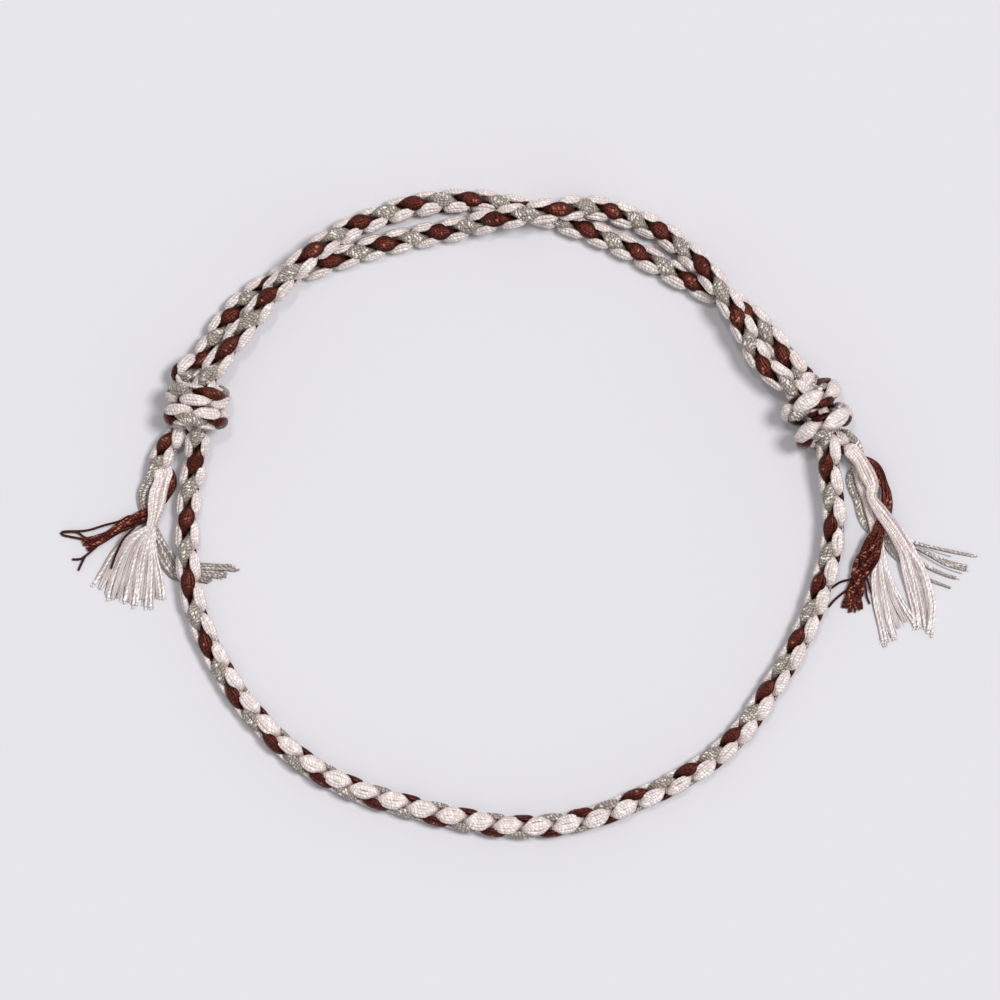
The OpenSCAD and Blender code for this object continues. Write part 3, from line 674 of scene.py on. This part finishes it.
class Fan:
    """One frayed end: its guide lines, and the threads that leave the tail at the starts along them."""

    def __init__(self, guides, starts):
        self.guides, self.starts = guides, starts
        self.lines = [smooth_line(points, FAN_POINTS) for _, _, points in guides]
        self.ways = [unit(np.cross(unit(np.gradient(line, axis=0)), UP)) for line in self.lines]
        # The starts in order from one side of the fan to the other
        spread = self.lines[-1][SPREAD_POINT] - self.lines[0][SPREAD_POINT]
        self.order = np.argsort([start @ spread for start in starts])

    def kept(self, count):
        """Numbers of the plies that stay twisted to the tip, evenly over the fan."""
        return set(self.order[np.round(np.linspace(0, len(self.order) - 1, count)).astype(int)])

    def between(self, q):
        """A line of the fan at the share q of its spread, and the way across it."""
        q = q * (len(self.lines) - 1)
        g = min(int(q), len(self.lines) - 2)
        f = q - g
        line = self.lines[g] * (1 - f) + self.lines[g + 1] * f
        return line, unit(self.ways[g] * (1 - f) + self.ways[g + 1] * f)

    def plies(self, kept, rng):
        """Lines of the plies, which go to the guides in order."""
        plies = [None] * len(self.starts)
        numbers = iter(self.order)
        spread = np.minimum(1, PLY_SPREAD[0] * ALONG) ** PLY_SPREAD[1]
        for guide, way, (count, width, _) in zip(self.lines, self.ways, self.guides):
            for j in range(count):
                k = next(numbers)
                across = (j + 0.5) / count - 0.5
                line = guide + way * (-across * width) * spread
                line = line + (self.starts[k] - guide[0]) * np.exp(-PLY_LEAVING * ALONG)
                phase, size = rng.uniform(*WAVE_START), rng.normal(0, PLY_SWAY)
                line = line + way * size * ALONG * np.sin(PLY_SWAY_RATE * ALONG + phase)
                share = rng.uniform(*KEPT_REACH) if k in kept else rng.uniform(*UNRAVELLED_REACH)
                plies[k] = cut(line, share, FAN_POINTS)
        return plies

    def filaments(self, count, rng):
        """Lines of loose filaments, all over the fan."""
        filaments = []
        for number in range(count):
            q = (number + rng.uniform(0, 1)) / count
            base, way = self.between(q)
            start = self.starts[self.order[min(len(self.order) - 1, int(q * len(self.order)))]]
            line = base + way * rng.normal(0, FILAMENT_DRIFT) * ALONG
            line = line + (start - base[0]) * np.exp(-FILAMENT_LEAVING * ALONG)
            sway = way * rng.normal(0, FILAMENT_SWAY) * ALONG
            line = line + sway * np.sin(rng.uniform(*FILAMENT_SWAY_RATE) * ALONG + rng.uniform(*WAVE_START))
            rise = rng.uniform(0, FILAMENT_RISE) * np.minimum(1, FILAMENT_RISING * ALONG[:, 0])
            line[:, 2] = line[:, 2] + rise
            share = rng.uniform(*LONG_REACH) if rng.uniform() < LONG_CHANCE else rng.uniform(*SHORT_REACH)
            filaments.append(cut(line, share, FILAMENT_POINTS))
        return filaments

    def ribbons(self, count, rng):
        """Rows of the ribbons: middle x, y, z, half width, and the way across as x, y."""
        ribbons = []
        spread = np.linalg.norm(self.lines[-1] - self.lines[0], axis=1)[:, None]
        for number in range(count):
            q = (number + 0.5) / count * (1 + 2 * RIBBON_EXCESS) - RIBBON_EXCESS
            base, way = self.between(q)
            share = rng.uniform(*RIBBON_REACH)
            line = base + way * rng.normal(0, RIBBON_DRIFT) * ALONG
            line[:, 2] = line[:, 2] - RIBBON_SINK + RIBBON_STAGGER * (number % 2)
            half = spread / count * rng.uniform(*RIBBON_WIDTHS)
            ribbons.append(cut(np.hstack([line, half, way[:, :2]]), share, FAN_POINTS))
        return ribbons


def ribbon_rings(rows):
    """Rings of a thin flat lock of untwisted floss that thins out at its tip."""
    line = rows[:, :3]
    way = unit(np.hstack([rows[:, 4:6], np.zeros((len(rows), 1))]))
    up = unit(np.cross(way, unit(np.gradient(line, axis=0))))
    up = up * np.sign(up[:, 2:3])
    half = np.maximum(rows[:, 3:4], RIBBON_LEAST) * (1 - RIBBON_NARROWING[0] * ALONG ** RIBBON_NARROWING[1])
    thick = RIBBON_THICKNESS / 2 * (1 - RIBBON_THINNING[0] * ALONG ** RIBBON_THINNING[1])
    angle = corners(RIBBON_SIDES)
    lip = 1 + RIBBON_RIPPLE * np.cos(RIBBON_RIPPLES * angle)
    rings = (line[:, None] + way[:, None] * (np.cos(angle) * lip)[None, :, None] * half[:, None]
             + up[:, None] * np.sin(angle)[None, :, None] * thick[:, None])
    rings[:, :, 2] = np.maximum(rings[:, :, 2], RIBBON_HEIGHT)
    return rings


def tuft(line, rng):
    """Short filaments that flare from the cut end of a ply."""
    root, before, end = line[-5], line[-4], line[-1]
    ahead = unit(end - before)
    side = unit(np.cross(ahead, UP))
    filaments = []
    for _ in range(TUFT_FILAMENTS):
        reach = rng.uniform(*TUFT_REACH)
        tip = end + ahead * reach + side * rng.normal(0, TUFT_SPREAD)
        tip = tip + UP * rng.uniform(-TUFT_RISE, TUFT_RISE)
        bend = end + ahead * reach * 0.5 + side * rng.normal(0, TUFT_BEND)
        filaments.append(smooth_line([root, end, bend, tip], TUFT_POINTS))
    return filaments


def frayed_end(strand, plies, end, guides, singles, rng):
    """Threads of a strand's left end, whose number is 0, or of its right end, whose number is -1."""
    name = strand.name
    fan = Fan(guides[name], [line[end] for line, _ in plies])
    kept = fan.kept(KEPT_PLIES[name][end])
    fan_plies = fan.plies(kept, rng)
    filaments = fan.filaments(FILAMENTS[name][end], rng)
    ribbons = fan.ribbons(RIBBONS[name][end], rng)
    fray = Threads()
    for rows in ribbons:
        fray.sweep(ribbon_rings(rows), rows[:, :3], RIBBON_STRETCH, RIBBON_WRAPS, RIBBON_OPEN)
    share = ALONG[:, 0]
    radius = strand.radius[end]
    for k, line in enumerate(fan_plies):
        opening = plies[k][1][end] * (1 - share) + PLY_OPEN[name] * share
        if k not in kept:
            size = radius * (1 - share) + UNRAVELLED_RADIUS * share
            fray.add(lift(line, TIP_RADIUS), size, PLY_SIDES, open_share=opening)
            continue
        size = radius + (TIP_RADIUS - radius) * share
        if ribbons:
            size = size + TIP_FLARE * share ** FLARE_SHARPNESS
        fray.add(lift(line, size), size, PLY_SIDES, open_share=opening)
        # Only an end with ribbons is loose enough to shed tufts
        if ribbons:
            for filament in tuft(line, rng):
                fray.add_filament(filament, FILAMENT_RADIUS, TUFT_OPEN)
    for line in filaments:
        fray.add_filament(line, rng.uniform(*FILAMENT_SIZES) * FILAMENT_RADIUS, FILAMENT_OPEN)
    for size, opening, points in singles[name]:
        line = lift(smooth_line(points, SINGLE_POINTS), size * SINGLE_HEIGHT)
        fray.add(line, size, PLY_SIDES, open_share=opening)
    return fray


def build_strand(name, seed, material, fray_material):
    """One strand as three pieces: its length with both tails, and its two frayed ends."""
    rng = np.random.default_rng(seed)
    strand = Strand(name)
    plies = [strand.ply(number, place, rng) for number, place in enumerate(PLIES)]
    left_fray = frayed_end(strand, plies, 0, LEFT_FANS, LEFT_SINGLES, rng)
    right_fray = frayed_end(strand, plies, -1, RIGHT_FANS, RIGHT_SINGLES, rng)
    length = Threads()
    for line, opening in plies:
        length.add(line, strand.radius, PLY_SIDES, open_share=opening)
    pieces = [length.piece("floss_" + name, material),
              left_fray.piece("fray_left_" + name, fray_material),
              right_fray.piece("fray_right_" + name, fray_material)]
    for piece in pieces:
        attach(piece, "root")
        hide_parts(NODES[name])


# Floss: scale and size of the drift that makes the beads uneven
DRIFT_SCALE = 0.8
DRIFT_SIZE = 0.8
# Scale of the patches with more and with fewer painted glints, and how much they change the chance
PATCH_SCALE = 0.9
PATCH_SIZE = 1.2
# How much more often a bead gets a painted glint in the open, how sharply the glint is painted, and how the
# painted glint and the painted shade in the grooves fall off
OPEN_PAINTED_GLINTS = 1.2
BEAD_CONTRAST = 4
GLINT_FALL = 0.8
GROOVE_SHADE_FALL = 1.5
# Scale of the fibres, how far they slant with the beads, and their relief beside that of the beads
FIBRE_SCALE = 6
FIBRE_SLANT = 0.6
FIBRE_RELIEF = 0.6
NOISE_DETAIL = 2


def feed(tree, value, socket):
    """Sets a socket to a number or a colour, or links it to another socket."""
    if isinstance(value, (int, float)):
        socket.default_value = value
    elif isinstance(value, tuple):
        socket.default_value = (*value, 1)
    else:
        tree.links.new(value, socket)


def math_node(tree, operation, *values):
    made = tree.nodes.new("ShaderNodeMath")
    made.operation = operation
    for socket, value in zip(made.inputs, values):
        feed(tree, value, socket)
    return made.outputs[0]


def plus(tree, a, b):
    return math_node(tree, "ADD", a, b)


def minus(tree, a, b):
    return math_node(tree, "SUBTRACT", a, b)


def times(tree, a, b):
    return math_node(tree, "MULTIPLY", a, b)


def power(tree, value, exponent):
    return math_node(tree, "POWER", value, exponent)


def clamped(tree, value):
    made = tree.nodes.new("ShaderNodeClamp")
    feed(tree, value, made.inputs[0])
    return made.outputs[0]


def mix_color(tree, factor, a, b, blend_type="MIX"):
    made = tree.nodes.new("ShaderNodeMix")
    made.data_type = "RGBA"
    made.blend_type = blend_type
    sockets = [socket for socket in made.inputs if socket.enabled]
    for socket, value in zip(sockets, (factor, a, b)):
        feed(tree, value, socket)
    return [socket for socket in made.outputs if socket.enabled][0]


def noise(tree, dimensions, place, at, scale):
    """Noise in 1D or 2D, read at the value that goes into the socket called place."""
    made = tree.nodes.new("ShaderNodeTexNoise")
    made.noise_dimensions = dimensions
    made.inputs["Scale"].default_value = scale
    made.inputs["Detail"].default_value = NOISE_DETAIL
    feed(tree, at, made.inputs[place])
    return made.outputs[0]


def texture_place(tree):
    """Distance along a thread in mm, and the share of the way round it."""
    uv = tree.nodes.new("ShaderNodeUVMap")
    uv.uv_map = "UVMap"
    split = tree.nodes.new("ShaderNodeSeparateXYZ")
    feed(tree, uv.outputs[0], split.inputs[0])
    return split.outputs[0], split.outputs[1]


def painted_glints(tree, along, phase, bead, opening, painted_glint_chance):
    """Painted glints: how bright each bead is painted; chance picks the bright ones, in uneven patches, and
    more in the open.
    """
    cell = tree.nodes.new("ShaderNodeTexWhiteNoise")
    cell.noise_dimensions = "1D"
    feed(tree, math_node(tree, "FLOOR", plus(tree, phase, 0.5)), cell.inputs["W"])
    patch = minus(tree, noise(tree, "1D", "W", along, PATCH_SCALE), 0.5)
    chance = plus(tree, minus(tree, cell.outputs[0], 1 - painted_glint_chance), times(tree, patch, PATCH_SIZE))
    chance = plus(tree, chance, times(tree, minus(tree, opening, 1), OPEN_PAINTED_GLINTS))
    return times(tree, clamped(tree, times(tree, chance, BEAD_CONTRAST)), power(tree, bead, GLINT_FALL))


def bead_relief(tree, along, phase, bead, depth):
    """Bumps of the beads, with fine fibres over them."""
    place = tree.nodes.new("ShaderNodeCombineXYZ")
    feed(tree, along, place.inputs[0])
    feed(tree, times(tree, phase, FIBRE_SLANT), place.inputs[1])
    fibre = noise(tree, "2D", "Vector", place.outputs[0], FIBRE_SCALE)
    bump = tree.nodes.new("ShaderNodeBump")
    bump.inputs["Strength"].default_value = 1
    bump.inputs["Distance"].default_value = depth * MM
    feed(tree, plus(tree, bead, times(tree, fibre, FIBRE_RELIEF)), bump.inputs["Height"])
    return bump.outputs[0]


def floss(name, painted_groove_shade, mid, light, painted_shade, tint, roughness, specular, pitch, depth, painted_glint_chance):
    """Silky two-ply thread: slanted beads along each ply, with painted shade in the grooves and painted
    glints on some beads, in uneven patches.
    """
    material = bpy.data.materials.new(name)
    material.use_nodes = True
    tree = material.node_tree
    shader = tree.nodes["Principled BSDF"]
    along, around = texture_place(tree)
    drift = times(tree, noise(tree, "1D", "W", along, DRIFT_SCALE), DRIFT_SIZE)
    phase = minus(tree, times(tree, plus(tree, along, drift), 1 / pitch), around)
    wave_height = math_node(tree, "COSINE", times(tree, phase, 2 * math.pi))
    bead = plus(tree, times(tree, wave_height, 0.5), 0.5)
    attribute = tree.nodes.new("ShaderNodeAttribute")
    attribute.attribute_name = "open"
    opening = attribute.outputs["Fac"]
    painted_glint = painted_glints(tree, along, phase, bead, opening, painted_glint_chance)
    # Painted shade in the grooves between the beads
    body = mix_color(tree, power(tree, minus(tree, 1, bead), GROOVE_SHADE_FALL), mid, painted_groove_shade)
    # The colour gets the painted glints, and is multiplied by the painted shade where a strand is pressed
    # under the others, at its edges and on darker tail plies
    color = mix_color(tree, minus(tree, 1, opening), mix_color(tree, painted_glint, body, light), painted_shade, "MULTIPLY")
    feed(tree, color, shader.inputs["Base Color"])
    feed(tree, bead_relief(tree, along, phase, bead, depth), shader.inputs["Normal"])
    shader.inputs["Roughness"].default_value = roughness
    shader.inputs["Specular IOR Level"].default_value = specular
    shader.inputs["Specular Tint"].default_value = (*tint, 1)
    return material


NO_TINT = (1, 1, 1)
# In each look, light is the colour of the painted glints and mid is the floss's own colour
BROWN = floss("brown_floss_look", painted_groove_shade=(0.012, 0.003, 0.0025), mid=(0.101, 0.021, 0.015),
              light=(0.5, 0.19, 0.14), painted_shade=(0.2, 0.1, 0.08), tint=(1, 0.32, 0.22),
              roughness=0.35, specular=0.5, pitch=0.36, depth=0.012, painted_glint_chance=0.31)
GREY = floss("silver_floss_look", painted_groove_shade=(0.165, 0.14, 0.113), mid=(0.375, 0.316, 0.268),
             light=(0.97, 0.89, 0.82), painted_shade=(0.6, 0.53, 0.49), tint=NO_TINT,
             roughness=0.25, specular=0.9, pitch=0.36, depth=0.05, painted_glint_chance=0.42)
WHITE = floss("white_floss_look", painted_groove_shade=(0.66, 0.55, 0.528), mid=(0.77, 0.667, 0.643),
              light=(0.98, 0.93, 0.9), painted_shade=(0.5, 0.41, 0.39), tint=NO_TINT,
              roughness=0.25, specular=0.9, pitch=0.36, depth=0.04, painted_glint_chance=0.6)
# The white and silver fray looks have lighter painted shade than the strands' own looks, to make up for the
# shade among their loose threads
GREY_FRAY = floss("silver_fray_look", painted_groove_shade=(0.2, 0.168, 0.148), mid=(0.4, 0.338, 0.31),
                  light=(0.9, 0.84, 0.8), painted_shade=(0.72, 0.65, 0.62), tint=NO_TINT,
                  roughness=0.25, specular=0.8, pitch=0.5, depth=0.04, painted_glint_chance=0.3)
WHITE_FRAY = floss("white_fray_look", painted_groove_shade=(0.62, 0.53, 0.515), mid=(0.76, 0.67, 0.655),
                   light=(1, 0.99, 0.97), painted_shade=(0.87, 0.8, 0.79), tint=NO_TINT,
                   roughness=0.25, specular=0.9, pitch=0.55, depth=0.04, painted_glint_chance=0.55)
LOOKS = {"brown": (BROWN, BROWN), "grey": (GREY, GREY_FRAY),
         "white_a": (WHITE, WHITE_FRAY), "white_b": (WHITE, WHITE_FRAY)}

# The first strand's seed; the others follow it
FIRST_SEED = 11
for strand_number, strand_name in enumerate(STRANDS):
    build_strand(strand_name, FIRST_SEED + strand_number, *LOOKS[strand_name])

# Floor, just below the lowest place of the solids
FLOOR_REACH = 1.5
FLOOR_GAP = 0.00001
FLOOR_COLOR = (0.667, 0.658, 0.692)
FLOOR_ROUGHNESS = 0.9

floor_material = bpy.data.materials.new("floor_look")
floor_material.use_nodes = True
floor_shader = floor_material.node_tree.nodes["Principled BSDF"]
floor_shader.inputs["Base Color"].default_value = (*FLOOR_COLOR, 1)
floor_shader.inputs["Roughness"].default_value = FLOOR_ROUGHNESS
floor_mesh = bpy.data.meshes.new("floor")
floor_corners = [(x * FLOOR_REACH, y * FLOOR_REACH, 0) for x, y in ((-1, -1), (1, -1), (1, 1), (-1, 1))]
floor_mesh.from_pydata(floor_corners, [], [(0, 1, 2, 3)])
floor_mesh.materials.append(floor_material)
floor = bpy.data.objects.new("floor", floor_mesh)
floor.location.z = min(0.0, cad_box[0][2]) - FLOOR_GAP
bpy.context.scene.collection.objects.link(floor)

# Light: a white sky, a broad key light and a small sharper one
SKY_COLOR = (1, 1, 1, 1)
SKY_STRENGTH = 0.456

world = bpy.data.worlds.new("studio")
bpy.context.scene.world = world
world.use_nodes = True
world.node_tree.nodes["Background"].inputs[0].default_value = SKY_COLOR
world.node_tree.nodes["Background"].inputs[1].default_value = SKY_STRENGTH


def sun(name, way, spread, strength):
    """Even light from the given direction; the spread in degrees softens its shadows."""
    data = bpy.data.lights.new(name, "SUN")
    data.angle = math.radians(spread)
    data.energy = strength
    light = bpy.data.objects.new(name, data)
    light.location = way
    light.rotation_euler = Vector(way).to_track_quat("Z", "Y").to_euler()
    bpy.context.scene.collection.objects.link(light)


sun("key", (0.42, 0.17, 1), spread=16, strength=2.1)
sun("glint", (-0.1, 0.3, 1), spread=5, strength=0.42)

bpy.context.scene.view_settings.view_transform = "Standard"
bpy.context.scene.view_settings.look = "None"
